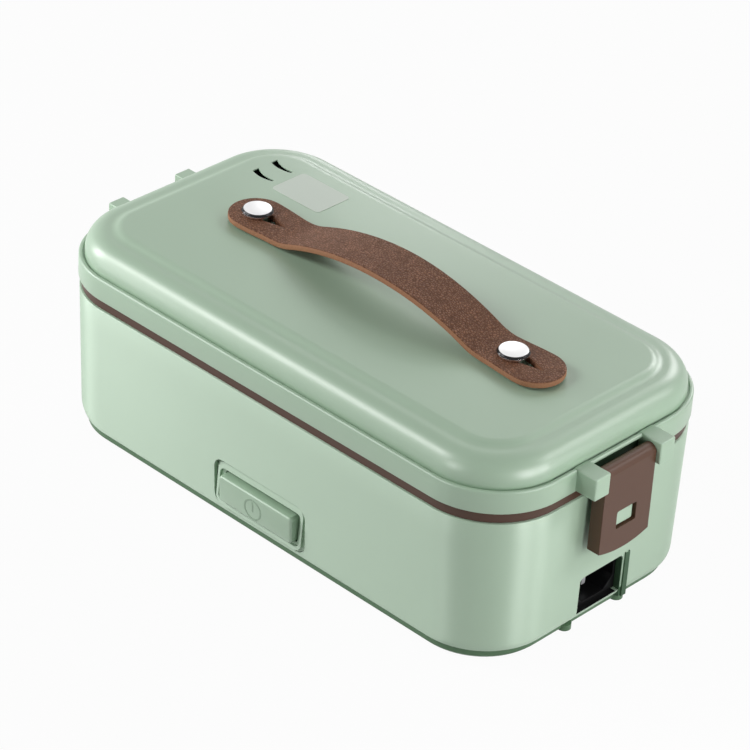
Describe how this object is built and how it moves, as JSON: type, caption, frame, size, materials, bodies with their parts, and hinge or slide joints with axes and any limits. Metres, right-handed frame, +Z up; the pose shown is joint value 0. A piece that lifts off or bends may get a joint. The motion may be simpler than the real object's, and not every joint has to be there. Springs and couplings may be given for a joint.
{
  "type": "electric lunch box",
  "caption": "Long rounded electric lunch box with a domed lift-off lid, two swing latches, leather strap handle, side power button and mains inlet.",
  "frame": {"origin": "centre of the base on the surface it stands on", "axes": "+X to the end with the mains inlet, -Y to the side with the power button, +Z up"},
  "size_m": [0.2586, 0.127, 0.103],
  "materials": {
    "green_plastic": "satin moulded, fine grain",
    "brown_plastic": "satin moulded",
    "strap_leather": "smooth, raw edge",
    "polished_steel": "polished",
    "steel_sheet": "satin",
    "aluminium_part": "as cast",
    "black_plastic": "satin",
    "foot_rubber": "matt",
    "seal_rubber": "matt silicone",
    "board_laminate": "glossy",
    "lamp_resin": "clear",
    "wire_sleeve": "satin"
  },
  "bodies": {
    "base": {"outer_shell": "green_plastic", "base_cover": "green_plastic", "base_screws": "steel_sheet", "feet": "foot_rubber", "trim_ring": "brown_plastic", "inner_liner": "steel_sheet", "heater_plate": "aluminium_part", "heater_clamp": "steel_sheet", "clamp_nuts": "steel_sheet", "thermostat": "black_plastic", "thermal_fuse": "steel_sheet", "heat_shield": "aluminium_part", "control_board": "board_laminate", "tact_switch": "black_plastic", "indicator_led": "lamp_resin", "button_bezel": "green_plastic", "power_socket": "black_plastic", "socket_pins": "steel_sheet", "socket_screws": "steel_sheet", "wiring": "wire_sleeve"},
    "container": {"food_container": "steel_sheet"},
    "lid": {"lid_shell": "green_plastic", "lid_liner": "green_plastic", "lid_gasket": "seal_rubber", "liner_screws": "steel_sheet", "vent_plug": "seal_rubber", "strap_studs": "polished_steel", "stud_nuts": "steel_sheet", "latch_pins": "steel_sheet"},
    "strap": {"handle_strap": "strap_leather"},
    "near_latch": {"latch_near": "brown_plastic"},
    "far_latch": {"latch_far": "brown_plastic"},
    "button": {"power_button": "green_plastic"}
  },
  "joints": [
    {"name": "lid_lift", "type": "slide", "parent": "base", "child": "lid", "axis": [0, 0, 1], "range_m": [0, 0.2]},
    {"name": "container_lift", "type": "slide", "parent": "base", "child": "container", "axis": [0, 0, 1], "range_m": [0, 0.1]},
    {"name": "latch_near_swing", "type": "hinge", "parent": "lid", "child": "near_latch", "pos_m": [0.1234, 0, 0.0735], "axis": [0, -1, 0], "range_deg": [0, 120]},
    {"name": "latch_far_swing", "type": "hinge", "parent": "lid", "child": "far_latch", "pos_m": [-0.1234, 0, 0.0735], "axis": [0, 1, 0], "range_deg": [0, 120]},
    {"name": "strap_slide", "type": "slide", "parent": "lid", "child": "strap", "axis": [1, 0, 0], "range_m": [-0.006, 0]},
    {"name": "button_press", "type": "slide", "parent": "base", "child": "button", "axis": [0, 1, 0], "range_m": [0, 0.0012], "stiffness_N_per_m": 350, "springref_m": -0.001}
  ],
  "couplings": [
    {"joint": "container_lift", "follows": "lid_lift", "ratio": 0.5}
  ]
}
